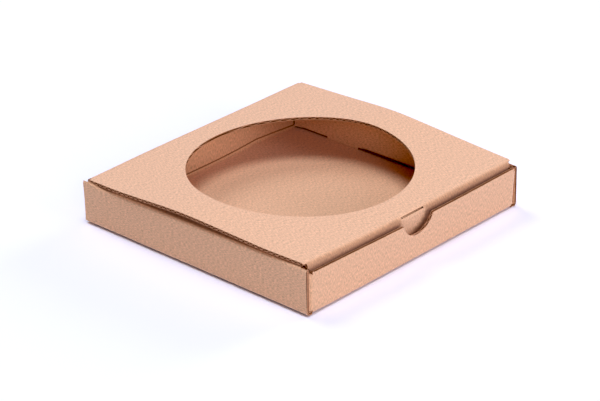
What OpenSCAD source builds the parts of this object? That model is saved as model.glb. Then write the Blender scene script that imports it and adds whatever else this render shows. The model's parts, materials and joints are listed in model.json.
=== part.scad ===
// Flat box of corrugated card, die-cut as one sheet, with a round window in its hinged lid.
// The side walls roll over into double walls that lock into the base, and the lid tucks in
// behind the front wall, which has a thumb notch.
// Sizes are in millimetres. X runs along the front, the front faces -Y, the hinge is at +Y,
// and the base stands on Z = 0.

/* [Board] */
// Thickness of the corrugated board
board_t = 1.6; // [0.8:0.1:3]
// Radius on the inside of a creased fold
crease_r = 0.6; // [0.2:0.1:1.5]
// Air between two layers of board that lie on each other
layer_gap = 0.1; // [0.05:0.05:0.4]

/* [Tray] */
// Clear width between the rolled side walls
inside_w = 150; // [120:1:260]
// Clear depth between the front wall and the hinge wall
inside_d = 150; // [120:1:260]
// Height of the rolled side walls
side_h = 24.6; // [20:0.2:60]
// How far the top of the front wall lies below the side walls
front_drop = 1.6; // [0:0.1:4]
// How far the ends of the outer side panels stop short of the front and back faces
end_set = 0.4; // [0:0.1:2]

/* [Side locks] */
// Width of a lock tab on the bottom edge of an inner side panel
tab_w = 22; // [8:1:40]
// Distance between the middles of the two tabs on one side panel
tab_pitch = 78; // [50:1:100]
// Room around a tab in its slot in the base
tab_clear = 0.3; // [0.1:0.1:1]
// Gap between the bottom edge of an inner side panel and the base
rail_gap = 1.4; // [0.4:0.1:4]

/* [Corner flaps] */
// Reach of the flaps folded in from the ends of the front wall and the hinge wall
flap_len = 33; // [15:1:55]
// How far the flaps stop short of the top of their wall
flap_drop = 1.6; // [0.5:0.1:5]

/* [Thumb notch] */
// Width of the notch in the top edge of the front wall
notch_w = 22; // [12:1:40]
// Depth of the notch
notch_depth = 8.4; // [4:0.2:14]

/* [Lid] */
// Gap under the closed lid, and between the hinge crease and the wall that carries it
lid_gap = 0.2; // [0.1:0.1:0.6]
// How far the lid's sides lie inside the outer side panels at the hinge
lid_back_in = 0.2; // [0:0.1:3]
// How far the lid's sides lie inside the outer side panels at the front
lid_front_in = 1.1; // [0:0.1:3]
// How far the lid bows up between its hinge and its front fold
bow_rise = 3.2; // [0.4:0.2:8]
// How far the crest of the bow lies behind the middle of the window
bow_shift = 5.8; // [-15:0.2:15]
// Bending radius of the board over the crest
bow_r = 350; // [100:10:800]

/* [Window] */
// Diameter of the round window
window_d = 117.5; // [60:0.5:138]

/* [Tuck flap] */
// Length of the tuck flap, from the middle of the lid's board
tuck_len = 20; // [12:0.5:22]
// Radius on the inside of the soft fold between the lid and the tuck flap
tuck_fold_r = 1.2; // [0.4:0.1:3]
// Gap between the front fold and the front wall
tuck_gap = 0.5; // [0.3:0.1:2]
// Room left at the end of the flap when it swings past the front wall
swing_clear = 0.4; // [0.3:0.1:2]
// How far the ends of the front fold lie inside the lid's sides
tuck_in = 1.7; // [0:0.1:4]
// Gap between the sides of the flap and the inner side panels
tuck_side = 0.8; // [0.3:0.1:10]
// Height of the slanted shoulders at the top of the flap
tuck_shoulder = 2.6; // [1:0.1:6]
// Corner radius at the end of the flap
tuck_corner = 8; // [1:0.5:11]
// Room behind the front wall that the rolled side walls leave for the flap
tuck_slot = 3; // [2.6:0.1:8]

/* [Slit] */
// Length of the slit along the front fold, over the thumb notch
slit_w = 18; // [6:1:40]
// Width of the slit
slit_gap = 0.4; // [0.2:0.1:1]
// How far the slit lies behind the front fold
slit_set = 0.3; // [0.3:0.1:6]

/* [Hidden] */
kraft = [0.86, 0.68, 0.54];
fold_steps = 8;
past = 1;

half_t = board_t / 2;
fold_in = min(crease_r, half_t);
fold_mid = fold_in + half_t;
fold_out = fold_in + board_t;

inner_x = inside_w / 2;
outer_x = inner_x + 3 * board_t + 2 * layer_gap;
panel_x = outer_x - board_t;
wall_x = panel_x - layer_gap;
outer_y = inside_d / 2 + board_t;
front_h = side_h - front_drop;
rail_z = board_t + rail_gap;
flap_z = board_t + layer_gap;
notch_r = (notch_w * notch_w / 4 + notch_depth * notch_depth) / (2 * notch_depth);

hinge_y = outer_y - half_t;
hinge_z = side_h + lid_gap + half_t;
under_z = hinge_z - half_t;
back_h = under_z - lid_gap;
tuck_y = -outer_y + board_t + tuck_gap + half_t;
window_y = (hinge_y + tuck_y) / 2;
bow_y = window_y + bow_shift;
tuck_swing = tuck_len * tuck_len / (2 * (hinge_y - tuck_y));
tuck_lean = atan2(tuck_swing + swing_clear, tuck_len);
tuck_mid = tuck_fold_r + half_t;
tuck_end_y = tuck_y + tuck_len * sin(tuck_lean);
tuck_end_z = hinge_z - tuck_len * cos(tuck_lean);
slit_y = tuck_y + tuck_mid + slit_set + slit_gap / 2;

lid_back_x = outer_x - lid_back_in;
lid_front_x = outer_x - lid_front_in;
fold_x = lid_front_x - tuck_in;
tuck_x = inner_x - tuck_side;

// Centre lines of the folded sheet: the base with both rolled side walls, seen from the front
side_path = [
    [-inner_x - half_t, rail_z],
    [-inner_x - half_t, side_h - half_t],
    [-outer_x + half_t, side_h - half_t],
    [-outer_x + half_t, half_t],
    [outer_x - half_t, half_t],
    [outer_x - half_t, side_h - half_t],
    [inner_x + half_t, side_h - half_t],
    [inner_x + half_t, rail_z]
];
// The base with the front wall and the hinge wall, seen from the side
wall_path = [
    [-outer_y + half_t, front_h],
    [-outer_y + half_t, half_t],
    [outer_y - half_t, half_t],
    [outer_y - half_t, back_h]
];
// The end of the front wall with its corner flap, seen from above
flap_path = [
    [wall_x - fold_out - board_t, -outer_y + half_t],
    [wall_x - half_t, -outer_y + half_t],
    [wall_x - half_t, -outer_y + flap_len]
];
// The bowed lid with its tuck flap, seen from the side
lid_path = [
    [hinge_y, hinge_z],
    [bow_y, hinge_z + bow_rise],
    [tuck_y, hinge_z],
    [tuck_end_y, tuck_end_z]
];

function unit(v) = v / norm(v);
function left_of(v) = [-v[1], v[0]];
function turned(v, a) = [v[0] * cos(a) - v[1] * sin(a), v[0] * sin(a) + v[1] * cos(a)];
function reversed(list) = [for (i = [len(list) - 1:-1:0]) list[i]];
function creases(path) = [for (i = [2:len(path) - 1]) fold_mid];

// One face of the fold at b, where the sheet comes from a and goes on to c.
// r is the fold's radius on the centre line, and off is how far the face lies to the left of it.
function fold_face(a, b, c, r, off) =
    let (u = unit(b - a))
    let (v = unit(c - b))
    let (hand = sign(cross(u, v)))
    let (bend = acos(u * v))
    let (out = -hand * left_of(u))
    let (middle = b - u * r * tan(bend / 2) - out * r)
    [for (i = [0:fold_steps]) middle + (r - hand * off) * turned(out, hand * bend * i / fold_steps)];

// One face of a folded sheet, from its first edge to its last
function sheet_face(path, radii, off) =
    let (last = len(path) - 1)
    concat(
        [path[0] + off * left_of(unit(path[1] - path[0]))],
        [for (i = [1:last - 1]) each fold_face(path[i - 1], path[i], path[i + 1], radii[i - 1], off)],
        [path[last] + off * left_of(unit(path[last] - path[last - 1]))]
    );

// Section of a folded sheet: its two faces, half the board to each side of the centre line
module sheet(path, radii) {
    polygon(concat(sheet_face(path, radii, half_t), reversed(sheet_face(path, radii, -half_t))));
}

module along_x(length) {
    rotate([90, 0, 90]) translate([0, 0, -length / 2]) linear_extrude(length) children();
}

module along_y(length) {
    rotate([90, 0, 0]) translate([0, 0, -length / 2]) linear_extrude(length) children();
}

// Box between two corners
module block(low, high) {
    translate(low) cube(high - low);
}

module rolled_sides() {
    difference() {
        along_y(2 * (outer_y - end_set)) sheet(side_path, creases(side_path));
        for (hand = [0, 1]) mirror([0, hand, 0])
            block([-panel_x, outer_y - fold_out, -past], [panel_x, outer_y + past, side_h + past]);
        block(
            [-panel_x, -outer_y - past, flap_z],
            [panel_x, -outer_y + board_t + tuck_slot, side_h + past]
        );
    }
}

module front_and_hinge_walls() {
    along_x(2 * (wall_x - fold_out)) sheet(wall_path, creases(wall_path));
}

module corner_flap(wall_h) {
    translate([0, 0, flap_z])
        linear_extrude(wall_h - flap_drop - flap_z) sheet(flap_path, creases(flap_path));
}

module thumb_notch() {
    translate([0, -outer_y + half_t, front_h - notch_depth + notch_r])
        rotate([90, 0, 0]) cylinder(r = notch_r, h = board_t + 2 * past, center = true, $fn = 64);
}

// Places its children at each lock tab, on the base under the inner side panel
module at_tabs() {
    for (side = [-1, 1], end = [-1, 1])
        translate([side * (inner_x + half_t), end * tab_pitch / 2, 0]) children();
}

module tray() {
    color(kraft) {
        difference() {
            union() {
                rolled_sides();
                front_and_hinge_walls();
                for (hand = [0, 1]) mirror([hand, 0, 0]) {
                    corner_flap(front_h);
                    mirror([0, 1, 0]) corner_flap(back_h);
                }
            }
            thumb_notch();
            at_tabs() translate([0, 0, half_t])
                cube([board_t + 2 * tab_clear, tab_w + 2 * tab_clear, board_t + 2 * layer_gap], center = true);
        }
        at_tabs() block([-half_t, -tab_w / 2, layer_gap], [half_t, tab_w / 2, rail_z + board_t]);
    }
}

// The lid's outline from above, where the front fold is a little narrower than the lid
module lid_outline() {
    polygon([
        [-lid_back_x, hinge_y + board_t],
        [lid_back_x, hinge_y + board_t],
        [lid_front_x, tuck_y],
        [fold_x, tuck_y],
        [fold_x, -outer_y],
        [-fold_x, -outer_y],
        [-fold_x, tuck_y],
        [-lid_front_x, tuck_y]
    ]);
}

// Half of the tuck flap's outline from the front, with its slanted shoulder and round corner
function tuck_half() = concat(
    [[fold_x, under_z]],
    [[tuck_x, under_z - tuck_shoulder]],
    [for (i = [0:fold_steps])
        [tuck_x - tuck_corner, tuck_end_z + tuck_corner] + tuck_corner * turned([1, 0], -90 * i / fold_steps)],
    [[tuck_x - tuck_corner, tuck_end_z - past]]
);

module tuck_outline() {
    polygon(concat(tuck_half(), reversed([for (p = tuck_half()) [-p[0], p[1]]])));
}

module lid() {
    color(kraft) difference() {
        intersection() {
            union() {
                along_x(2 * outer_x) sheet(lid_path, [bow_r, tuck_mid]);
                translate([0, hinge_y, hinge_z])
                    rotate([0, 90, 0]) cylinder(r = half_t, h = 2 * outer_x, center = true, $fn = 48);
            }
            union() {
                translate([0, 0, under_z]) linear_extrude(bow_rise + 2 * board_t) lid_outline();
                along_y(4 * outer_y) tuck_outline();
            }
        }
        translate([0, window_y, hinge_z])
            cylinder(d = window_d, h = 4 * (bow_rise + board_t), center = true, $fn = 128);
        block([-slit_w / 2, slit_y - slit_gap / 2, side_h], [slit_w / 2, slit_y + slit_gap / 2, hinge_z + board_t]);
    }
}

tray();
lid();
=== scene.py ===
# %% [markdown]
# # A die-cut window box of corrugated kraft card
#
# The real box is one sheet of corrugated card. A die cuts its outline, its window and its creases in
# one stroke, and then it is folded by hand. This lesson goes the same way: it draws the flat blank,
# gives it two liners and a fluted sheet between them, and folds it along its creases.
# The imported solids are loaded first. They fix the outside sizes and the hinge that the lid turns on.

# %% Load the frame
import json
import math

import bpy
import numpy as np
from mathutils import Matrix, Vector


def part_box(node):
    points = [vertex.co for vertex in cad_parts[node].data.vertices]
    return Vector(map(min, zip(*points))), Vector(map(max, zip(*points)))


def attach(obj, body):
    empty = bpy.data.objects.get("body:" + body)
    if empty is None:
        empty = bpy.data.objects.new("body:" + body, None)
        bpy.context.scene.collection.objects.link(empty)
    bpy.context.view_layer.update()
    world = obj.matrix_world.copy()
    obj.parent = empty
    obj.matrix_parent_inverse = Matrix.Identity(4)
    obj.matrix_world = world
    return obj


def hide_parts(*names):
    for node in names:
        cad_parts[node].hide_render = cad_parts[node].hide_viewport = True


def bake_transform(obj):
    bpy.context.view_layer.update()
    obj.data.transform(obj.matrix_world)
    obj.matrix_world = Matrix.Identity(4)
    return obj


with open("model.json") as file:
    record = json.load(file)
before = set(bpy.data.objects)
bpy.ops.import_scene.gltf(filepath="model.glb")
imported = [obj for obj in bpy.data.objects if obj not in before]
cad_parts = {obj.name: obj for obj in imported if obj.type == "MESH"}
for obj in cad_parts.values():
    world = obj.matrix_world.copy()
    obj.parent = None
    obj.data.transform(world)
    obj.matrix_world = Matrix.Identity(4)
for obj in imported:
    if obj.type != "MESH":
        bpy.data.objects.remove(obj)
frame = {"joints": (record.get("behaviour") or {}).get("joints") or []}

MM = 0.001
scene = bpy.context.scene
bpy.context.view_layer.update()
tray_low, tray_high = (np.array(corner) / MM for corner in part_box("tray"))
hinge = np.array(frame["joints"][0]["pos_m"]) / MM
print("tray", tray_low.round(2), tray_high.round(2), "hinge", hinge.round(2))

# %% [markdown]
# ## Camera
#
# The picture was taken with a long lens from the left of the front, looking down at about 26 degrees.
# A camera can be placed by eye with a Track To constraint, but here its angle and distance come from
# matching the corners of the box, so the three axes of the camera are written down directly.

# %% Camera
VIEW_TURN, VIEW_DOWN, VIEW_ROLL = np.radians([-47.055, 26.358, -0.88])
VIEW_DISTANCE = 1341.93
VIEW_ASIDE, VIEW_UP = -1.301, 7.225
LENS, SENSOR = 156.0, 36.0

back = np.array([
    math.sin(VIEW_TURN) * math.cos(VIEW_DOWN),
    -math.cos(VIEW_TURN) * math.cos(VIEW_DOWN),
    math.sin(VIEW_DOWN),
])
level = np.array([math.cos(VIEW_TURN), math.sin(VIEW_TURN), 0.0])
upright = np.cross(back, level)
right = level * math.cos(VIEW_ROLL) + upright * math.sin(VIEW_ROLL)
up = upright * math.cos(VIEW_ROLL) - level * math.sin(VIEW_ROLL)
place = (back * VIEW_DISTANCE + right * VIEW_ASIDE + up * VIEW_UP) * MM

camera = bpy.data.objects.new("camera", bpy.data.cameras.new("camera"))
camera.data.lens = LENS
camera.data.sensor_width = SENSOR
camera.data.sensor_fit = "HORIZONTAL"
camera.matrix_world = Matrix([
    [right[i], up[i], back[i], place[i]] for i in range(3)
] + [[0, 0, 0, 1]])
scene.collection.objects.link(camera)
scene.camera = camera
print("camera at", place.round(3))

# %% [markdown]
# ## Floor and light
#
# The box stands on a white sweep. The key light hangs almost overhead, a little to the camera's side,
# and throws the window's outline on the base inside. The white floor sends much of it back up onto the
# walls. Other soft lights in front, on the right and behind give each wall its own tone, and a pale sky
# fills the rest. A sky alone would be simpler, but it would throw no window of light on the base.
# The plain Standard transform keeps white paper white, and a small black level keeps deep gaps dark.

# %% Floor
FLOOR_SIZE, FLOOR_WHITE = 8.0, (0.905, 0.905, 0.94, 1)
half = FLOOR_SIZE / 2
floor_corners = [(-half, -half, 0), (half, -half, 0), (half, half, 0), (-half, half, 0)]
floor_mesh = bpy.data.meshes.new("floor")
floor_mesh.from_pydata(floor_corners, [], [(0, 1, 2, 3)])
floor = bpy.data.objects.new("floor", floor_mesh)
scene.collection.objects.link(floor)
white = bpy.data.materials.new("white_sweep")
white.use_nodes = True
sweep = white.node_tree.nodes["Principled BSDF"]
for label, value in (("Base Color", FLOOR_WHITE), ("Roughness", 0.9), ("Specular IOR Level", 0.1)):
    sweep.inputs[label].default_value = value
floor_mesh.materials.append(white)
print("floor", FLOOR_SIZE, "m wide")

# %% Lights
BLACK_LEVEL = 0.02
SKY_BLUE, SKY_STRENGTH = (0.85, 0.84, 1.0, 1), 0.06
PALE_BLUE, PALE_ROSE = (0.83, 0.828, 1.0), (0.91, 0.81, 0.98)
BOX_MIDDLE = Vector((0, 0, 0))
scene.view_settings.view_transform = "Standard"
scene.view_settings.use_curve_mapping = True
scene.view_settings.curve_mapping.black_level = (BLACK_LEVEL,) * 3
scene.view_settings.curve_mapping.update()
world = bpy.data.worlds.new("studio")
scene.world = world
world.use_nodes = True
sky = world.node_tree.nodes["Background"]
sky.inputs["Color"].default_value = SKY_BLUE
sky.inputs["Strength"].default_value = SKY_STRENGTH


def soft_light(name, place, width, power, colour):
    """A round area light, in metres and watts, turned to the box."""
    light = bpy.data.lights.new(name, "AREA")
    light.shape = "DISK"
    light.size = width
    light.energy = power
    light.color = colour
    holder = bpy.data.objects.new(name, light)
    holder.location = place
    holder.rotation_euler = (BOX_MIDDLE - Vector(place)).to_track_quat("-Z", "Y").to_euler()
    scene.collection.objects.link(holder)


soft_light("key", (-0.53, -0.5, 3.9), 1.8, 104.0, (0.795, 0.838, 1.0))
soft_light("front", (0.3, -4.0, 0.9), 1.6, 36.0, PALE_BLUE)
soft_light("front_high", (0.3, -3.5, 2.2), 1.8, 22.0, PALE_BLUE)
soft_light("front_left", (-2.4, -3.2, 1.6), 1.8, 45.0, PALE_ROSE)
soft_light("right", (4.0, -0.5, 1.2), 2.0, 103.0, PALE_BLUE)
soft_light("back", (0.0, 2.6, 3.2), 2.4, 84.0, (0.81, 0.833, 1.0))

# %% [markdown]
# ## Kraft paper
#
# Kraft liner is brown wood pulp: cloudy at the scale of a few millimetres, fibrous below one, with
# the odd dark fleck of bark. The card is built flat and then folded, and each point remembers where it
# was on the flat sheet in an attribute named flat. The paper is drawn in that flat space, so its
# fibres and the faint ribs of the flutes run round the folds as they do on the real sheet.
# A second attribute carries painted shade: where the card lies in a crease, a gap or the shade of another
# part, the paper turns darker there.
# A picture of card would be quicker, but it blurs close up. A node group draws the paper once, and
# each paper of the board sets its own values.

# %% Helpers for nodes
def add_node(tree, kind, inputs=(), **settings):
    """A new node with its settings, and its inputs linked or set."""
    node = tree.nodes.new(kind)
    for name, value in settings.items():
        setattr(node, name, value)
    for key, value in dict(inputs).items():
        if isinstance(value, bpy.types.NodeSocket):
            tree.links.new(value, node.inputs[key])
        else:
            node.inputs[key].default_value = value
    return node


def number(tree, operation, *values):
    """The result of a Math node."""
    return add_node(tree, "ShaderNodeMath", enumerate(values), operation=operation).outputs[0]


def vector(tree, operation, *values):
    """The result of a Vector Math node: a number for a dot product, a vector otherwise."""
    node = add_node(tree, "ShaderNodeVectorMath", enumerate(values), operation=operation)
    return node.outputs["Value" if operation == "DOT_PRODUCT" else "Vector"]


def scaled(tree, source, factor):
    """A vector or a colour times a number."""
    node = add_node(tree, "ShaderNodeVectorMath", {0: source, "Scale": factor}, operation="SCALE")
    return node.outputs["Vector"]


def new_group(name, kind, takes, gives):
    """An empty node group with named sockets, given as {name: (socket type, default)}."""
    group = bpy.data.node_groups.new(name, kind)
    for way, sockets in (("INPUT", takes), ("OUTPUT", gives)):
        for label, (socket_type, default) in sockets.items():
            socket = group.interface.new_socket(label, in_out=way, socket_type="NodeSocket" + socket_type)
            if default is not None:
                socket.default_value = default
    return group, group.nodes.new("NodeGroupInput").outputs, group.nodes.new("NodeGroupOutput").inputs


# %% Clouds, fibres and flecks
paper, given, made = new_group(
    "kraft_paper",
    "ShaderNodeTree",
    {
        "Flat": ("Vector", None),
        "Pulp": ("Color", (0.7, 0.45, 0.32, 1)),
        "Cloud": ("Float", 0.1),
        "Fibre": ("Float", 0.12),
        "Fleck": ("Float", 0.5),
        # painted shade: how far a place is darkened because it lies in shade
        "Painted shade": ("Float", 0.0),
    },
    {"Color": ("Color", None), "Rough": ("Float", None), "Height": ("Float", None)},
)
FIBRE_COMB = (1.0, 0.25, 1.0)
cloud = add_node(paper, "ShaderNodeTexNoise", {
    "Vector": given["Flat"], "Scale": 700.0, "Detail": 3.0, "Roughness": 0.6})
combed = vector(paper, "MULTIPLY", given["Flat"], FIBRE_COMB)
fibre = add_node(paper, "ShaderNodeTexNoise", {
    "Vector": combed, "Scale": 2400.0, "Detail": 2.0, "Roughness": 0.7})
spots = add_node(paper, "ShaderNodeTexVoronoi", {
    "Vector": given["Flat"], "Scale": 150.0, "Randomness": 1.0})
fleck_size = add_node(paper, "ShaderNodeSeparateColor", {"Color": spots.outputs["Color"]})
fleck_edge = add_node(paper, "ShaderNodeMapRange", {
    "Value": fleck_size.outputs["Red"], "From Min": 0.72, "From Max": 1.0, "To Min": 0.0, "To Max": 0.05})
fleck = number(paper, "LESS_THAN", spots.outputs["Distance"], fleck_edge.outputs["Result"])
print("group", paper.name, "takes", [socket.name for socket in given if socket.name])

# %% Colour, roughness and relief
PITCH = 3.3
# How much the painted shade darkens the paper and deepens its colour.
RIB_RELIEF, PAINTED_SHADE_DARK, PAINTED_SHADE_DEEP = 0.15, 0.7, 0.5


def swing(noise, amount):
    """A noise that swings about zero, times an amount."""
    return number(paper, "MULTIPLY", number(paper, "SUBTRACT", noise.outputs["Fac"], 0.5), amount)


def darkened(mask, amount):
    """1 where the mask is 0, and less by the amount where it is 1."""
    return number(paper, "SUBTRACT", 1.0, number(paper, "MULTIPLY", mask, amount))


mottled = number(paper, "ADD", swing(cloud, given["Cloud"]), swing(fibre, given["Fibre"]))
shade = number(paper, "ADD", mottled, 1.0)
tone = number(paper, "MULTIPLY", shade, darkened(fleck, given["Fleck"]))
# Painted shade: darker and deeper in colour where the attribute says the card lies in shade.
tone = number(paper, "MULTIPLY", tone, darkened(given["Painted shade"], PAINTED_SHADE_DARK))
deepened = number(paper, "ADD", number(paper, "MULTIPLY", given["Painted shade"], PAINTED_SHADE_DEEP), 1.0)
shaded_pulp = add_node(paper, "ShaderNodeGamma", {"Color": given["Pulp"], "Gamma": deepened})
rough = add_node(paper, "ShaderNodeMapRange", {
    "Value": fibre.outputs["Fac"], "From Min": 0.3, "From Max": 0.7, "To Min": 0.95, "To Max": 0.82})
flat_y = add_node(paper, "ShaderNodeSeparateXYZ", {"Vector": given["Flat"]}).outputs["Y"]
rib = number(paper, "COSINE", number(paper, "MULTIPLY", flat_y, 2 * math.pi / (PITCH * MM)))
height = number(paper, "ADD", fibre.outputs["Fac"], number(paper, "MULTIPLY", rib, RIB_RELIEF))
paper.links.new(scaled(paper, shaded_pulp.outputs["Color"], tone), made["Color"])
paper.links.new(rough.outputs["Result"], made["Rough"])
paper.links.new(height, made["Height"])
print("group", paper.name, "nodes", len(paper.nodes))

# %% [markdown]
# ## The papers of the board
#
# Three papers show on the board. The liner is the pale face, a little fuzzy, so it has some sheen.
# Its cut edge is darker and has none. The fluted sheet is a cheaper, darker paper, which shows only at the
# cuts, and its colour is made darker still as painted shade in the hollows of the flutes. One material with
# a mask could hold all three, but three short ones are easier to change.

# %% The papers of the board
RELIEF_DEPTH, SHEEN_ROUGHNESS = 0.0001, 0.5


def kraft_material(name, pulp, cloud, fibre, fleck, relief, fuzz):
    """A paper: the kraft group with its own values, relief on its surface and fuzz in its sheen."""
    material = bpy.data.materials.new(name)
    material.use_nodes = True
    tree = material.node_tree
    surface = tree.nodes["Principled BSDF"]
    flat = add_node(tree, "ShaderNodeAttribute", attribute_name="flat").outputs["Vector"]
    # The painted shade written on the flat sheet.
    score = add_node(tree, "ShaderNodeAttribute", attribute_name="score").outputs["Fac"]
    drawn = add_node(tree, "ShaderNodeGroup", {
        "Flat": flat, "Pulp": (*pulp, 1), "Cloud": cloud, "Fibre": fibre, "Fleck": fleck,
        "Painted shade": score}, node_tree=paper)
    bump = add_node(tree, "ShaderNodeBump", {
        "Strength": relief, "Distance": RELIEF_DEPTH, "Height": drawn.outputs["Height"]})
    tree.links.new(drawn.outputs["Color"], surface.inputs["Base Color"])
    tree.links.new(drawn.outputs["Rough"], surface.inputs["Roughness"])
    tree.links.new(bump.outputs["Normal"], surface.inputs["Normal"])
    for label, value in (
        ("Specular IOR Level", fuzz), ("Sheen Weight", fuzz), ("Sheen Roughness", SHEEN_ROUGHNESS)
    ):
        surface.inputs[label].default_value = value
    return material


liner_face = kraft_material("kraft_liner", (0.732, 0.422, 0.226), 0.3, 1.5, 0.5, 0.6, 0.35)
cut_edge = kraft_material("kraft_cut_edge", (0.6, 0.31, 0.17), 0.4, 0.8, 0.2, 0.5, 0.0)
# The fluted sheet is darkened beyond its own colour to paint the shade in the flute hollows.
flute_paper = kraft_material("kraft_flutes", (0.25, 0.11, 0.045), 0.3, 0.5, 0.3, 0.4, 0.0)
print("papers", liner_face.name, cut_edge.name, flute_paper.name)

# %% [markdown]
# ## The flat blank
#
# A die cuts the blank from a sheet. Every cut on it is a straight line or part of a circle, so the
# blank is built from strips: each has rows along the sheet, a left and a right edge at every row, and
# columns between them. Strips that meet share their points, so the blank is one clean sheet of quads.
# A boolean cut would also make the window, but it leaves long slivers that fold badly.

# %% Rows and strips
def rows_between(stops, step):
    """Rows that hit every stop, with no two further apart than step."""
    stops = sorted(set(round(s, 4) for s in stops))
    rows = [stops[0]]
    for a, b in zip(stops, stops[1:]):
        count = max(1, math.ceil((b - a) / step - 1e-6))
        rows += [round(a + (b - a) * i / count, 4) for i in range(1, count + 1)]
    return rows


def within(rows, low, high):
    """The rows from low to high, both included."""
    return [y for y in rows if low - 1e-3 <= y <= high + 1e-3]


def even(count):
    """The shares of a strip's width at which count equal columns meet."""
    return [i / count for i in range(count + 1)]


def negative(edge):
    """The mirror image of an edge, which is a place across the sheet or a rule on the row."""
    return (lambda y: -edge(y)) if callable(edge) else -edge


def mirrored(rows, inner, outer, shares, side=0.0):
    """A strip on the right half of a blank and its mirror image; side is 1 on a side panel."""
    flipped = [1 - s for s in reversed(shares)]
    return [(rows, inner, outer, shares, side), (rows, negative(outer), negative(inner), flipped, side)]


# %% Cut a blank
def cut_blank(name, strips, painted_shade_rule=lambda x, y: (0.0, 0.0)):
    """A flat sheet from strips of (rows, left edge, right edge, shares, part of a side panel).

    The last argument tells how much painted shade darkens the card at a point, on its upper and on its
    lower face.
    """
    found, points, faces, sides, painted_shades = {}, [], [], [], []
    for rows, left, right, shares, side in strips:
        lines = []
        for y in rows:
            a = left(y) if callable(left) else left
            b = right(y) if callable(right) else right
            line = []
            for share in shares:
                x = a + (b - a) * share
                key = (round(x, 3), round(y, 3))
                if key not in found:
                    found[key] = len(points)
                    points.append((x * MM, y * MM, 0.0))
                    sides.append(side)
                    painted_shades.append(painted_shade_rule(x, y))
                line.append(found[key])
            lines.append(line)
        for low, high in zip(lines, lines[1:]):
            for k in range(len(shares) - 1):
                corners = (low[k], low[k + 1], high[k + 1], high[k])
                if len(set(corners)) == 4:
                    faces.append(corners)
    mesh = bpy.data.meshes.new(name)
    mesh.from_pydata(points, [], faces)
    upper, lower = zip(*painted_shades)
    for label, values in (("side", sides), ("score", upper), ("lower_score", lower)):
        mesh.attributes.new(label, "FLOAT", "POINT").data.foreach_set("value", np.array(values, np.float32))
    blank = bpy.data.objects.new(name, mesh)
    scene.collection.objects.link(blank)
    print(name, "points", len(points), "faces", len(faces))
    return blank


# %% [markdown]
# ## Flutes and folds with Geometry Nodes
#
# Corrugated board is a wavy sheet glued between two flat ones. One node group makes a sheet of paper
# with a thickness, flat or wavy. Another bends everything beyond a crease line round a small radius,
# and a chain of these folds the blank in the order in which a packer does it: outermost folds first.
# A Simple Deform modifier can bend a sheet too, but it also bends the walls that lie beside a crease.
# Sizes are inputs of the tree, so a thicker board or a longer flute needs only new numbers.

# %% One sheet of paper
def place_of_points(tree):
    """The places of the points of whatever geometry it is used on."""
    return tree.nodes.new("GeometryNodeInputPosition").outputs[0]


def stored(tree, geometry, name, value, kind, domain):
    """The geometry with a value kept on it as a named attribute."""
    return add_node(tree, "GeometryNodeStoreNamedAttribute", {
        "Geometry": geometry, "Name": name, "Value": value}, data_type=kind, domain=domain).outputs[0]


sheet_group, given, made = new_group(
    "paper_sheet",
    "GeometryNodeTree",
    {
        "Blank": ("Geometry", None),
        "Level": ("Float", 0.0),
        "Thickness": ("Float", 0.0002),
        "Wave": ("Float", 0.0),
        "Pitch": ("Float", 0.0033),
        "Top face": ("Material", None),
        "Under face": ("Material", None),
    },
    {"Sheet": ("Geometry", None)},
)
g = sheet_group
along = add_node(g, "ShaderNodeSeparateXYZ", {"Vector": place_of_points(g)}).outputs["Y"]
turn = number(g, "DIVIDE", number(g, "MULTIPLY", along, 2 * math.pi), given["Pitch"])
swell = number(g, "MULTIPLY", number(g, "SINE", turn), given["Wave"])
lift = add_node(g, "ShaderNodeCombineXYZ", {"Z": number(g, "ADD", swell, given["Level"])})
waved = add_node(g, "GeometryNodeSetPosition", {
    "Geometry": given["Blank"], "Offset": lift.outputs[0]}).outputs[0]
raised = add_node(g, "GeometryNodeExtrudeMesh", {
    "Mesh": waved, "Offset": (0, 0, 1), "Offset Scale": given["Thickness"], "Individual": False},
    mode="FACES")
edged = stored(g, raised.outputs["Mesh"], "cut", raised.outputs["Side"], "BOOLEAN", "FACE")
under = add_node(g, "GeometryNodeFlipFaces", {"Mesh": waved}).outputs[0]
both = g.nodes.new("GeometryNodeJoinGeometry")
for part, face in ((edged, "Top face"), (under, "Under face")):
    papered = add_node(g, "GeometryNodeSetMaterial", {"Geometry": part, "Material": given[face]})
    g.links.new(papered.outputs[0], both.inputs[0])
closed = add_node(g, "GeometryNodeMergeByDistance", {"Geometry": both.outputs[0], "Distance": 5e-8})
g.links.new(closed.outputs[0], made["Sheet"])
print("group", g.name, "nodes", len(g.nodes))

# %% One crease
crease_group, given, made = new_group(
    "crease",
    "GeometryNodeTree",
    {
        "Position": ("Vector", None),
        "Flat": ("Vector", None),
        "Start": ("Vector", None),
        "Out": ("Vector", None),
        "Angle": ("Float", math.pi / 2),
        "Radius": ("Float", 0.0014),
        "Carried": ("Float", 1.0),
    },
    {"Position": ("Vector", None)},
)
g = crease_group
beyond = vector(g, "DOT_PRODUCT", vector(g, "SUBTRACT", given["Flat"], given["Start"]), given["Out"])
arc = number(g, "MULTIPLY", given["Angle"], given["Radius"])
in_arc = number(g, "MINIMUM", number(g, "MAXIMUM", beyond, 0.0), arc)
bent = number(g, "MULTIPLY", in_arc, given["Carried"])
angle = number(g, "DIVIDE", bent, given["Radius"])
sine, cosine = number(g, "SINE", angle), number(g, "COSINE", angle)
reach = vector(g, "DOT_PRODUCT", vector(g, "SUBTRACT", given["Position"], given["Start"]), given["Out"])
rest = number(g, "SUBTRACT", reach, bent)
depth = add_node(g, "ShaderNodeSeparateXYZ", {"Vector": given["Position"]}).outputs["Z"]
arm = number(g, "SUBTRACT", given["Radius"], depth)
new_reach = number(g, "ADD", number(g, "MULTIPLY", sine, arm), number(g, "MULTIPLY", rest, cosine))
dropped = number(g, "SUBTRACT", given["Radius"], number(g, "MULTIPLY", cosine, arm))
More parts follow.
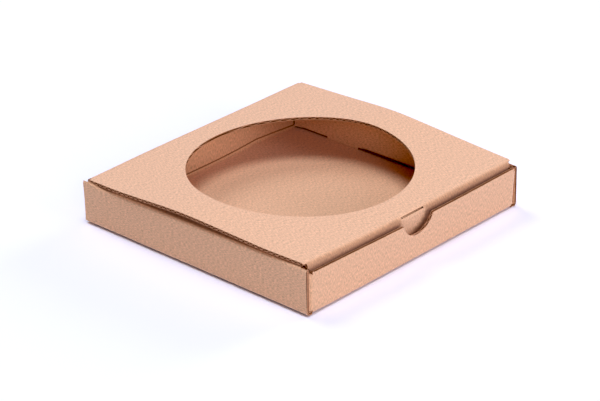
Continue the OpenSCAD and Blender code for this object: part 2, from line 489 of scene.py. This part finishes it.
new_depth = number(g, "ADD", dropped, number(g, "MULTIPLY", rest, sine))
pushed = scaled(g, given["Out"], number(g, "SUBTRACT", new_reach, reach))
rise = add_node(g, "ShaderNodeCombineXYZ", {"Z": number(g, "SUBTRACT", new_depth, depth)}).outputs[0]
g.links.new(vector(g, "ADD", vector(g, "ADD", given["Position"], pushed), rise), made["Position"])
print("group", g.name, "nodes", len(g.nodes))

# %% The layers of the board
BOARD, LINER, MEDIUM, FOLD = 1.6, 0.24, 0.36, 1.4
SIZES = {"Board": BOARD, "Liner": LINER, "Medium": MEDIUM, "Pitch": PITCH}


def named(tree, name, kind):
    """A named attribute of whatever geometry it is used on."""
    return add_node(tree, "GeometryNodeInputNamedAttribute", {"Name": name}, data_type=kind).outputs[0]


def board_layers(tree, given):
    """The lower liner, the upper liner and the fluted sheet between them, still flat."""
    half_board = number(tree, "MULTIPLY", given["Board"], 0.5)
    low = number(tree, "MULTIPLY", half_board, -1.0)
    high = number(tree, "SUBTRACT", half_board, given["Liner"])
    wave = number(tree, "SUBTRACT", high, number(tree, "MULTIPLY", given["Medium"], 0.5))
    middle = number(tree, "MULTIPLY", given["Medium"], -0.5)
    flutes = add_node(tree, "GeometryNodeObjectInfo", {"Object": given["Flute blank"]}).outputs["Geometry"]
    outside, inside = given["Liner face"], given["Flute paper"]
    joined = tree.nodes.new("GeometryNodeJoinGeometry")
    for blank, level, thickness, swell, top, under in (
        (given["Blank"], low, given["Liner"], 0.0, inside, outside),
        (given["Blank"], high, given["Liner"], 0.0, outside, inside),
        (flutes, middle, given["Medium"], wave, inside, inside),
    ):
        kept = stored(tree, blank, "flat", place_of_points(tree), "FLOAT_VECTOR", "POINT")
        if level is low:
            kept = stored(tree, kept, "score", named(tree, "lower_score", "FLOAT"), "FLOAT", "POINT")
        sheet = add_node(tree, "GeometryNodeGroup", {
            "Blank": kept, "Level": level, "Thickness": thickness, "Wave": swell,
            "Pitch": given["Pitch"], "Top face": top, "Under face": under}, node_tree=sheet_group)
        tree.links.new(sheet.outputs[0], joined.inputs[0])
    return joined.outputs[0]


# %% The folding tree
def folding_tree(name, creases):
    """A board folded at each crease, given as (start, outward, degrees, radius, what it carries)."""
    tree, given, made = new_group(
        name,
        "GeometryNodeTree",
        {"Blank": ("Geometry", None), "Flute blank": ("Object", None)}
        | {label: ("Float", size * MM) for label, size in SIZES.items()}
        | {label: ("Material", None) for label in ("Liner face", "Cut edge", "Flute paper")},
        {"Board": ("Geometry", None)},
    )
    tree.is_modifier = True
    board = board_layers(tree, given)
    flat, side = named(tree, "flat", "FLOAT_VECTOR"), named(tree, "side", "FLOAT")
    shares = {"sides": side, "walls": number(tree, "SUBTRACT", 1.0, side), "all": 1.0}
    for start, outward, degrees, radius, carried in creases:
        fold = add_node(tree, "GeometryNodeGroup", {
            "Position": place_of_points(tree), "Flat": flat, "Start": Vector(start) * MM,
            "Out": Vector(outward), "Angle": math.radians(degrees), "Radius": radius * MM,
            "Carried": shares[carried]}, node_tree=crease_group)
        board = add_node(tree, "GeometryNodeSetPosition", {
            "Geometry": board, "Position": fold.outputs[0]}).outputs[0]
    real = add_node(tree, "GeometryNodeRealizeInstances", {"Geometry": board}).outputs[0]
    finished = add_node(tree, "GeometryNodeSetMaterial", {
        "Geometry": real, "Selection": named(tree, "cut", "BOOLEAN"), "Material": given["Cut edge"]})
    tree.links.new(finished.outputs[0], made["Board"])
    print("tree", name, "creases", len(creases), "nodes", len(tree.nodes))
    return tree


# %% Fold a blank
SHARP_DEGREES = 40


def fold_blank(name, blank, flute_blank, tree):
    """The folded board as an object with a plain mesh; the two blanks are used up."""
    modifier = blank.modifiers.new("fold", "NODES")
    modifier.node_group = tree
    values = {"Flute blank": flute_blank, "Liner face": liner_face, "Cut edge": cut_edge,
              "Flute paper": flute_paper}
    values |= {label: size * MM for label, size in SIZES.items()}
    for item in tree.interface.items_tree:
        if item.in_out == "INPUT" and item.name in values:
            modifier[item.identifier] = values[item.name]
    bpy.context.view_layer.update()
    graph = bpy.context.evaluated_depsgraph_get()
    mesh = bpy.data.meshes.new_from_object(
        blank.evaluated_get(graph), preserve_all_data_layers=True, depsgraph=graph)
    mesh.name = name
    for used in (blank, flute_blank):
        bpy.data.objects.remove(used)
    board = bpy.data.objects.new(name, mesh)
    scene.collection.objects.link(board)
    return board


def shape(board, change):
    """Moves the points of a board by a rule on their places in millimetres."""
    mesh = board.data
    flat = np.empty(len(mesh.vertices) * 3, np.float32)
    mesh.vertices.foreach_get("co", flat)
    points = flat.reshape(-1, 3).astype(float) / MM
    mesh.vertices.foreach_set("co", (change(points) * MM).astype(np.float32).ravel())
    mesh.update()


def ease(value, start, end):
    """0 up to start, 1 from end on, with a soft S between; start may also lie beyond end."""
    t = np.clip((value - start) / (end - start), 0, 1)
    return t * t * (3 - 2 * t)


def finish_mesh(board):
    """Smooth shading that stops at the cut edges."""
    mesh = board.data
    mesh.shade_smooth()
    mesh.set_sharp_from_angle(angle=math.radians(SHARP_DEGREES))
    mesh.calc_loop_triangles()
    size = [round(d / MM, 2) for d in board.dimensions]
    print(board.name, "triangles", len(mesh.loop_triangles), "size", size)


# %% [markdown]
# ## The tray's blank
#
# Round the base lie a front wall and a hinge wall with a flap at each end, and two long side panels.
# Each side panel becomes a double wall: it stands up, turns over the top, and comes down inside, where
# two tabs lock into slots in the base. Flat lengths follow from the finished sizes: each right-angled
# crease takes a quarter circle of card. The walls could be modelled upright one by one, but a blank
# that folds shut proves that they fit.

# %% Sizes of the tray
QUARTER = FOLD * math.pi / 2
HALF = BOARD / 2
OUTER_X, OUTER_Y, SIDE_H = tray_high
INNER_X, FRONT_H, RAIL_Z = 75.0, 23.0, 3.0
FLAP_DROP, FLAP_LEN, FLAP_PLAY = 1.6, 33.0, 0.1
TUCK_SLOT = 3.0
TAB_PITCH, TAB_W, TAB_CLEAR, TAB_SHORT = 78.0, 22.0, 0.3, 0.1
NOTCH_W, NOTCH_DEPTH = 22.0, 8.4
PANEL_SHORT, INNER_END = 0.4, 73.6
HINGE_H, HEEL_R, HEEL_TURN, KINK_R = 23.45, 3.4, math.radians(60), 1.0

PANEL_END = OUTER_Y - PANEL_SHORT
side_1 = OUTER_X - HALF - FOLD
side_2 = side_1 + QUARTER + SIDE_H - BOARD - 2 * FOLD
side_3 = side_2 + QUARTER + OUTER_X - INNER_X - BOARD - 2 * FOLD
side_4 = side_3 + QUARTER + SIDE_H - HALF - FOLD - RAIL_Z
tab_end = side_4 + RAIL_Z - TAB_SHORT
wall_1 = OUTER_Y - HALF - FOLD
wall_2 = wall_1 + QUARTER
front_top = wall_2 + FRONT_H - HALF - FOLD
heel_1 = OUTER_Y - HALF - HEEL_R * math.sin(HEEL_TURN) - KINK_R * (1 - math.sin(HEEL_TURN))
heel_2 = heel_1 + HEEL_R * HEEL_TURN
heel_3 = heel_2 + KINK_R * (math.pi / 2 - HEEL_TURN)
heel_z = HALF + HEEL_R * (1 - math.cos(HEEL_TURN)) + KINK_R * math.cos(HEEL_TURN)
hinge_top = heel_3 + HINGE_H - heel_z
print("side creases at", np.round([side_1, side_2, side_3, side_4], 2), "wall top", round(front_top, 2))

# %% Flaps, tabs and notch
NOTCH_ZONE = 16.0
CORNER_PLAY = 0.2

flap_1 = OUTER_X - BOARD - FLAP_PLAY - HALF - FOLD
flap_2 = flap_1 + QUARTER
flap_end = flap_2 + FLAP_LEN - HALF - FOLD
flap_low = -wall_2 - FRONT_H + FLAP_DROP + HALF + FOLD
flap_high = heel_3 + SIDE_H - FLAP_DROP - heel_z
corner_x = flap_1 + CORNER_PLAY
inner_front = -OUTER_Y + BOARD + TUCK_SLOT
tab_low, tab_high = TAB_PITCH / 2 - TAB_W / 2, TAB_PITCH / 2 + TAB_W / 2
slot_low, slot_high = tab_low - TAB_CLEAR, tab_high + TAB_CLEAR
slot_in = INNER_X - TAB_CLEAR
slot_out = INNER_X + BOARD + TAB_CLEAR
notch_r = (NOTCH_W ** 2 / 4 + NOTCH_DEPTH ** 2) / (2 * NOTCH_DEPTH)
notch_y = front_top - NOTCH_DEPTH + notch_r
notch_floor = -(front_top - NOTCH_DEPTH)
print("flaps at", round(flap_1, 2), "slots at", round(slot_in, 2), "notch radius", round(notch_r, 2))


def notch_edge(y):
    """Half the notch's width at a row, or nothing below its floor."""
    return math.sqrt(max(0.0, notch_r ** 2 - (notch_y + y) ** 2)) if y <= notch_floor else 0.0


# %% Tray strips
NOTCH_STEPS = range(0, 76, 5)
KINK_ROWS = (0.25, 0.5)
END_BAND = 0.3


def tray_rows(step, bends):
    """Rows of the tray's blank, on every edge and slot and close together round each crease."""
    notch_rows = [-(notch_y - notch_r * math.cos(math.radians(a))) for a in NOTCH_STEPS]
    stops = [-front_top, flap_low, -wall_2, -PANEL_END, wall_1, PANEL_END, flap_high, hinge_top]
    stops += [inner_front, INNER_END, END_BAND - PANEL_END]
    stops += [y for y in notch_rows if -y <= front_top]
    stops += [s * e for s in (-1, 1) for e in (tab_low, tab_high, slot_low, slot_high)]
    stops += [-wall_1 - QUARTER * i / bends for i in range(bends)]
    stops += [heel_1 + (heel_2 - heel_1) * i / bends for i in range(bends)]
    stops += [heel_2 - gap for gap in KINK_ROWS] + [heel_3 + gap for gap in KINK_ROWS]
    stops += [heel_2 + (heel_3 - heel_2) * i / 2 for i in range(3)]
    return rows_between(stops, step)


def tray_strips(step, bends, fluted):
    """Strips of the tray's blank: rows step apart, bends columns round each crease.

    The fluted sheet leaves out the middle of the base, where no cut shows it.
    """
    rows = tray_rows(step, bends)
    base = within(rows, -wall_1, heel_1)
    front_wall = within(rows, -front_top, -wall_1)
    hinge_wall = within(rows, heel_1, hinge_top)
    panel = within(rows, -PANEL_END, PANEL_END)
    inner = within(rows, inner_front, INNER_END)
    ends = [within(rows, -PANEL_END, -wall_1), within(rows, heel_1, PANEL_END)]
    plain = [within(rows, -wall_1, -slot_high), within(rows, -slot_low, slot_low)]
    plain += [within(rows, slot_high, heel_1)]
    tabs = [within(rows, -tab_high, -tab_low), within(rows, tab_low, tab_high)]
    flaps = [within(rows, flap_low, -wall_2), within(rows, heel_3, flap_high)]
    strips = []

    def add(rows, inner_edge, outer_edge, columns, side=0.0):
        strips.extend(mirrored(rows, inner_edge, outer_edge, even(columns), side))

    for stretch in [hinge_wall] if fluted else [hinge_wall, base]:
        add(stretch, 0, NOTCH_ZONE, 4)
        add(stretch, NOTCH_ZONE, slot_in, 4)
    add(within(rows, notch_floor, -wall_1), 0, NOTCH_ZONE, 4)
    add(within(rows, -front_top, notch_floor), notch_edge, NOTCH_ZONE, 4)
    add(front_wall, NOTCH_ZONE, slot_in, 4)
    for stretch in plain + [front_wall, hinge_wall]:
        add(stretch, slot_in, flap_1, 1)
    for stretch in plain:
        add(stretch, flap_1, corner_x, 1)
        add(stretch, corner_x, slot_out, 1)
    add(base, slot_out, side_1, 1)
    for stretch in ends:
        add(stretch, corner_x, slot_out, 1, 1.0)
        add(stretch, slot_out, side_1, 1, 1.0)
    for stretch in flaps:
        add(stretch, flap_1, flap_2, bends)
        add(stretch, flap_2, flap_end, 3)
    half_bend = QUARTER / 2
    add(panel, side_1, side_1 + QUARTER, bends, 1.0)
    add(panel, side_1 + QUARTER, side_2, 4, 1.0)
    add(panel, side_2, side_2 + half_bend, bends // 2, 1.0)
    add(inner, side_2 + half_bend, side_2 + QUARTER, bends // 2, 1.0)
    add(inner, side_2 + QUARTER, side_3, 1, 1.0)
    add(inner, side_3, side_3 + QUARTER, bends, 1.0)
    add(inner, side_3 + QUARTER, side_4, 4, 1.0)
    for stretch in tabs:
        add(stretch, side_4, tab_end, 1, 1.0)
    return strips


# %% [markdown]
# ## Folding the tray
#
# The side panels and the flaps fold first, then the walls stand up with their flaps inside. The foot
# of the hinge wall is not a sharp crease but a soft heel with a kink above it, so it has two.
# Where card lies in shade, in the heel crease, in gaps and on the tops of the side walls under the lid, the
# shade is painted into the paper. Painting that by hand in Texture Paint would need an image, so a rule on
# the flat sheet writes it into an attribute.

# %% Fold the tray
# How much shade is painted into the heel crease, and how far it reaches.
KINK_DARK, KINK_REACH = 0.8, 0.3
FLAP_BAND, HAIR = 1.5, 0.05


def tray_painted_shade(x, y):
    """Painted shade: how much darker the card is made inside, in the heel crease and in gaps, and outside,
    on the tops of the side walls under the lid and on the front ends of the outer panels.
    """
    x = abs(x)
    kink = x < flap_1 and heel_2 - KINK_REACH < y < heel_3 + KINK_REACH
    # Painted shade in the gap under the inner panels and in the back corners.
    under = flap_1 <= x < side_1 and abs(y) < wall_1
    corner = flap_1 <= x < flap_2 + FLAP_BAND and y > PANEL_END + HAIR
    top = ease(x, side_2 + 0.45 * QUARTER, side_2 + 0.8 * QUARTER) * ease(x, side_3 + 0.9 * QUARTER, side_3)
    end = side_1 + QUARTER < x < side_2 + 0.4 * QUARTER and y < HAIR - PANEL_END
    return max(KINK_DARK * kink, float(under or corner)), max(top, float(end))


tray_creases = [
    ((hand * start, 0, 0), (hand, 0, 0), 90, FOLD, part)
    for hand in (1, -1)
    for start, part in ((side_3, "sides"), (side_2, "sides"), (side_1, "sides"), (flap_1, "walls"))
]
tray_creases += [
    ((0, -wall_1, 0), (0, -1, 0), 90, FOLD, "walls"),
    ((0, heel_2, 0), (0, 1, 0), 90 - math.degrees(HEEL_TURN), KINK_R, "walls"),
    ((0, heel_1, 0), (0, 1, 0), math.degrees(HEEL_TURN), HEEL_R, "walls"),
]
tray = fold_blank(
    "tray_board",
    cut_blank("tray_blank", tray_strips(step=PITCH / 2, bends=6, fluted=False), tray_painted_shade),
    cut_blank("tray_flutes", tray_strips(step=PITCH / 6, bends=4, fluted=True)),
    folding_tree("fold_tray", tray_creases),
)
shape(tray, lambda p: p + [0, 0, HALF])

# %% [markdown]
# ## Card that has been handled
#
# No folded box is quite square. Here the front wall leans out in the middle, where a thumb has pulled
# it, the left wall is lower at the back than in front, the ends of the outer panels spring out, the
# inner panels spring up under the lid, and the crease at the foot of the hinge wall wanders.
# A few smooth rules on the folded points do that, each a size in millimetres times soft limits.
# A lattice or sculpting would do it too, but a rule has a size that can be read and changed.

# %% Settle the tray
CREASE_X = [-80, -10, 20, 27, 38, 55, 65, 80]
CREASE_RISE = [-0.9, -0.85, -0.7, -0.65, 0.7, 0.85, -0.9, -1.1]
SIDE_SLOPE, SIDE_LEVEL_Y = -0.0158, 25.0
OUTER_SHEET = OUTER_X - BOARD - HAIR
LEAN_LEFT, LEAN_MIDDLE, LEAN_RIGHT = 0.3, 1.75, 0.6
FLAP_MARK, FLARE, FOOT = 0.3, 1.3, 0.8
LEFT_END_BACK, RIGHT_END_IN = 0.8, 0.55
LEFT_RISE, RIGHT_DROP = 1.6, 0.9
LEFT_SAG, FRONT_SAG = 0.6, 0.35
RAIL_RISE, INNER_SPRING = 0.9, 2.2


def settle_tray(points):
    """The folded tray as handling left it."""
    x, y, z = points.T
    rise = np.maximum(z, 0.0) / SIDE_H
    inner_panel = (abs(x) > 74.9) & (abs(x) < 76.65) & (abs(y) < 74.6) & (z > 1.65)
    left_panel, right_panel = x < -OUTER_SHEET, x > OUTER_SHEET
    lean = LEAN_LEFT + LEAN_MIDDLE * ease(x, -76, -6) - LEAN_RIGHT * ease(x, 25, 76)
    lean = lean * rise ** 1.3 * ease(-y, 70, 75) * (abs(x) < OUTER_SHEET)
    flap_mark = FLAP_MARK * ease(y, 42.8, 43.8) * ease(z, 22, 17) * inner_panel
    flare = FLARE * ease(y, 45, 76) * rise ** 2 * left_panel
    foot = FOOT * (1 - rise) * ease(y, 60, 75)
    ends = LEFT_END_BACK * ease(y, 68, 76) * left_panel - RIGHT_END_IN * ease(-y, 68, 76) * right_panel
    crease = np.interp(x, CREASE_X, CREASE_RISE) * ease(y, 66, 74) * ease(z, 9, 3.5) * ease(z, 0.4, 2.4)
    slope = SIDE_SLOPE * (y - SIDE_LEVEL_Y) * rise * ease(-x, 74, 78.4)
    slope += (LEFT_RISE * ease(y, 62, 76) * left_panel - RIGHT_DROP * ease(-y, 40, 76) * right_panel) * rise
    sag = (1 - rise) * (LEFT_SAG * ease(-x, 55, 78) + FRONT_SAG * ease(-y, 55, 75) * ease(x, -78, -70))
    rail = RAIL_RISE * ease(y, 28, 22) * (1 - rise) * inner_panel * (x > 0)
    spring = INNER_SPRING * ease(abs(y - 6), 74, 5) * ease(abs(x), 78.7, 77.2)
    spring = spring * (abs(x) > 74.5) * ease(z, 8, 24)
    return np.stack([
        x - np.sign(x) * flap_mark - flare,
        y - lean + foot + ends,
        z + crease + slope + rail + sag + spring,
    ], 1)


shape(tray, settle_tray)
finish_mesh(tray)

# %% [markdown]
# ## The lid
#
# The lid bows up a little over the window, where two narrow strips of card carry it, and its front edge
# folds down into a flap that tucks in behind the front wall. Its own two creases are the fold of the
# flap and the soft bend over the crest, which is a crease with a very large radius. So the same cutter
# and folder make it. Its columns stay at the same shares of its width and squeeze together beside the
# window, which keeps the rim smooth.

# %% Sizes of the lid
BOW_Y, BOW_RISE, BOW_R = 6.85, 3.2, 350.0
TUCK_Y, TUCK_R, TUCK_LEN, TUCK_LEAN = -73.7, 2.0, 20.0, 4.95
LID_BACK_X, LID_FRONT_X, FOLD_X, TUCK_X = 79.8, 78.9, 77.2, 74.2
TUCK_SHOULDER, TUCK_CORNER, STEP_TURN = 2.6, 8.0, 0.6
WINDOW_Y, WINDOW_R = 1.05, 58.75
SLIT_W, SLIT_GAP, SLIT_SET = 17.0, 0.65, 1.67
LID_START = 2.4

up_run, down_run = hinge[1] - BOW_Y, BOW_Y - TUCK_Y
up_slope, down_slope = math.atan2(BOW_RISE, up_run), math.atan2(BOW_RISE, down_run)
crest = up_slope + down_slope
tuck_turn = math.radians(90 + TUCK_LEAN) - down_slope
crest_cut, tuck_cut = BOW_R * math.tan(crest / 2), TUCK_R * math.tan(tuck_turn / 2)
crest_1 = math.hypot(up_run, BOW_RISE) - crest_cut
crest_2 = crest_1 + BOW_R * crest
tuck_1 = crest_2 + math.hypot(down_run, BOW_RISE) - crest_cut - tuck_cut
tuck_2 = tuck_1 + TUCK_R * tuck_turn
lid_end = tuck_2 + TUCK_LEN - tuck_cut
step_y = tuck_1 + TUCK_R * STEP_TURN
window_s = crest_1 + (hinge[1] - WINDOW_Y - crest_1 * math.cos(up_slope)) / math.cos(up_slope / 4)
slit_s = tuck_1 + SLIT_SET
print("lid creases at", np.round([crest_1, crest_2, tuck_1, tuck_2], 2), "end", round(lid_end, 2))

# %% Edges of the lid
SLIT_SHARE, FOLD_SHARE = SLIT_W / 2 / LID_FRONT_X, FOLD_X / LID_FRONT_X
LID_SHARES = [0, 0.04, 0.075, SLIT_SHARE, 0.13, 0.155, 0.22, 0.36]
LID_SHARES += [0.5, 0.64, 0.78, 0.88, 0.94, FOLD_SHARE, 1]


def lid_side(s):
    """Half the lid's width at a distance from the hinge."""
    return LID_BACK_X + (LID_FRONT_X - LID_BACK_X) * min(1.0, s / tuck_1)


def window_edge(s):
    """Half the window's width."""
    return math.sqrt(max(0.0, WINDOW_R ** 2 - (s - window_s) ** 2))


def flap_side(s):
    """Half the tuck flap's width, with its shoulder and its round corner."""
    if s < tuck_2 + TUCK_SHOULDER:
        return FOLD_X + (TUCK_X - FOLD_X) * max(0.0, (s - tuck_2) / TUCK_SHOULDER)
    rounded = max(0.0, s - (lid_end - TUCK_CORNER))
    return TUCK_X - TUCK_CORNER + math.sqrt(max(0.0, TUCK_CORNER ** 2 - rounded ** 2))


def flap_reach(s):
    """Where a strip of the flap would end if it kept the lid's outermost column."""
    return flap_side(s) / FOLD_SHARE


# %% Lid strips
FLAP_ROWS = range(1, 12)


def lid_strips(step, turn_step, bends):
    """Strips of the lid's blank: rows step apart, turn_step degrees round the window, bends in the fold."""
    stops = [LID_START, crest_1, crest_2, step_y, tuck_2 + TUCK_SHOULDER, lid_end]
    stops += [window_s - WINDOW_R * math.cos(math.radians(a)) for a in np.arange(0, 181, turn_step)]
    stops += [lid_end - TUCK_CORNER * (1 - math.sin(math.radians(a))) for a in range(0, 91, 10)]
    stops += [tuck_1 + (tuck_2 - tuck_1) * i / bends for i in range(bends + 1)]
    stops += [tuck_2 + i for i in FLAP_ROWS]
    slit_rows = [slit_s - SLIT_GAP / 2, slit_s + SLIT_GAP / 2]
    rows = rows_between(stops + slit_rows, step)
    window_low, window_high = round(window_s - WINDOW_R, 4), round(window_s + WINDOW_R, 4)
    slit_at = LID_SHARES.index(SLIT_SHARE)
    strips = []
    for low, high in ((LID_START, window_low), (window_high, step_y)):
        strips += mirrored(within(rows, low, high), 0.0, lid_side, LID_SHARES)
    strips += mirrored(within(rows, window_low, window_high), window_edge, lid_side, LID_SHARES)
    strips += mirrored(within(rows, *slit_rows), 0.0, flap_reach, LID_SHARES[slit_at:-1])
    for low, high in ((step_y, slit_rows[0]), (slit_rows[1], lid_end)):
        strips += mirrored(within(rows, low, high), 0.0, flap_reach, LID_SHARES[:-1])
    return strips


# %% Fold the lid
# How much shade is painted on the front fold and on the flap in the notch.
FOLD_SHADE, FOLD_SHADE_LOW, NOTCH_SHADE_MAX = 0.42, 0.25, 0.8
TONGUE_X, NOTCH_RISE = 10.5, 2.5


def lid_painted_shade(x, y):
    """Painted shade on the outside: on the fold in front, which darkens as it turns down into the gap, and
    on the flap at the right of the notch, where the front wall shades it.

    The fold grows darker towards the gap below it, apart from the tongue under the slit.
    """
    s = y - tuck_1
    # Painted shade on the fold, growing towards the gap under it.
    fold_shade = FOLD_SHADE * ease(s, 0.4, 2.4) + FOLD_SHADE_LOW * ease(s, 2.9, 3.8)
    tongue = 1.0 - ease(TONGUE_X - abs(x), 0.0, 2.5)
    hidden = ease(y, tuck_2 + 6.0, tuck_2 + 1.5)
    # Painted shade on the flap just inside the right of the notch.
    from_notch = notch_r - math.hypot(x, y - tuck_2 + NOTCH_RISE)
    notch_shade = ease(from_notch, 2.4, 0.4) * ease(from_notch, -3.0, -1.0) * ease(x, -3.0, 4.0)
    notch_shade = notch_shade * ease(y, tuck_2 - 1.2, tuck_2 + 0.5)
    return 0.0, max(fold_shade * tongue * hidden, NOTCH_SHADE_MAX * notch_shade)


lid_creases = [
    ((0, tuck_1, 0), (0, 1, 0), math.degrees(tuck_turn), TUCK_R, "all"),
    ((0, crest_1, 0), (0, 1, 0), math.degrees(crest), BOW_R, "all"),
]
lid = fold_blank(
    "lid_board",
    cut_blank("lid_blank", lid_strips(step=3.0, turn_step=2.0, bends=8), lid_painted_shade),
    cut_blank("lid_flutes", lid_strips(step=PITCH / 8, turn_step=4.0, bends=8)),
    folding_tree("fold_lid", lid_creases),
)


def hang_lid(points):
    """The blank's inner face turns down, the sheet runs forward from the hinge and rises to the crest."""
    turned = points * [1, -1, -1]
    c, s = math.cos(-up_slope), math.sin(-up_slope)
    y = turned[:, 1] * c - turned[:, 2] * s
    z = turned[:, 1] * s + turned[:, 2] * c
    return np.stack([turned[:, 0], y, z], 1) + hinge


shape(lid, hang_lid)

# %% Settle the lid
RIGHT_Y, RIGHT_RISE = [-76, -35, 5, 40, 76], [-0.15, -0.15, 0.45, 0.2, 0.3]
TIP_IN, LEFT_REACH, REACH_DROP, FOLD_PULL = 0.8, 1.3, 0.1, 0.4


def settle_lid(points):
    """The lid lies on the side walls as they stand, and its fold is pulled forward a little."""
    x, y, z = points.T
    slope = SIDE_SLOPE * (y - SIDE_LEVEL_Y) * ease(-x, 10, 80) ** 2
    right_side = np.interp(y, RIGHT_Y, RIGHT_RISE) * ease(x, 30, 80)
    tip = TIP_IN * ease(x, 55, 79) * ease(-y, 20, 72)
    reach = LEFT_REACH * ease(-x, 40, 79) * ease(abs(y), 76, 46)
    return np.stack([
        x - tip - reach,
        y - FOLD_PULL * ease(-y, 45, 72),
        z + slope + right_side - REACH_DROP * reach,
    ], 1)


shape(lid, settle_lid)
finish_mesh(lid)

# %% [markdown]
# ## The hinge
#
# The lid hinges on its own paper: the liners run on from the hinge wall into the lid, and only they
# bend. Here each is a thin ribbon across the crease, and without them a gap would open behind the lid.
# Each ribbon is built in place for the closed lid, its part above the wall shaped to follow the settled
# lid.

# %% A ribbon across the crease
HINGE_X, RIBBON_STATIONS, FOLLOW_HEIGHT = 78.2, 57, 3.0


def ribbon(name, path, inward):
    """A closed ribbon of liner along points (y, z), its thickness to the left (1) or the right (-1)."""
    path = np.array(path, float)
    run = np.gradient(path, axis=0)
    run /= np.linalg.norm(run, axis=1)[:, None]
    under = path + inward * LINER * np.stack([-run[:, 1], run[:, 0]], 1)
    ring = np.vstack([path, under[::-1]])
    lengths = np.concatenate([[0], np.cumsum(np.linalg.norm(np.diff(path, axis=0), axis=1))])
    stations = np.linspace(-HINGE_X, HINGE_X, RIBBON_STATIONS)
    count, edge = len(ring), len(path)
    points = np.array([(x, y, z) for x in stations for y, z in ring])
    followed = np.clip((points[:, 2:] - HINGE_H) / FOLLOW_HEIGHT, 0, 1)
    points += followed * (settle_lid(points) - points)
    faces = [
        (k * count + i, k * count + (i + 1) % count, (k + 1) * count + (i + 1) % count, (k + 1) * count + i)
        for k in range(len(stations) - 1) for i in range(count)
    ]
    last = (len(stations) - 1) * count
    for i in range(edge - 1):
        quad = (i, i + 1, count - 2 - i, count - 1 - i)
        faces += [quad[::-1], tuple(last + v for v in quad)]
    if inward < 0:
        faces = [face[::-1] for face in faces]
    mesh = bpy.data.meshes.new(name)
    mesh.from_pydata((points * MM).tolist(), [], faces)
    flat = [(x * MM, s * MM, 0.0) for x in stations for s in np.concatenate([lengths, lengths[::-1]])]
    kept = mesh.attributes.new("flat", "FLOAT_VECTOR", "POINT")
    kept.data.foreach_set("vector", np.array(flat, np.float32).ravel())
    mesh.materials.append(liner_face)
    strip = bpy.data.objects.new(name, mesh)
    scene.collection.objects.link(strip)
    finish_mesh(strip)
    return strip


# %% The two ribbons
SOFT_R = 3.1
ROUND_STEPS = np.radians(range(0, 91, 9))
INNER_PATH = [(75.0, HINGE_H), (75.15, 24.25), (75.08, 24.75), (74.7, 24.98), (74.1, 24.96), (73.4, 24.92)]
round_edge = [
    (OUTER_Y - SOFT_R + SOFT_R * math.cos(a), HINGE_H + SOFT_R * math.sin(a)) for a in ROUND_STEPS
]
outer_ribbon = ribbon("hinge_outer", round_edge, 1)
inner_ribbon = ribbon("hinge_inner", INNER_PATH, -1)

# %% [markdown]
# ## Ride on the bodies
#
# Each board rides on its body and stands for its imported solid, and the ribbons keep the places they were
# built in.

# %% Ride and finish
for board, body in ((tray, "tray"), (lid, "lid")):
    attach(board, body)
    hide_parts(body)
for strip, start, end in (
    (outer_ribbon, (OUTER_Y, HINGE_H + 0.2), (73.8, 26.5)),
    (inner_ribbon, (75.0, HINGE_H + 0.1), (74.0, 24.9)),
):
    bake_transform(strip)
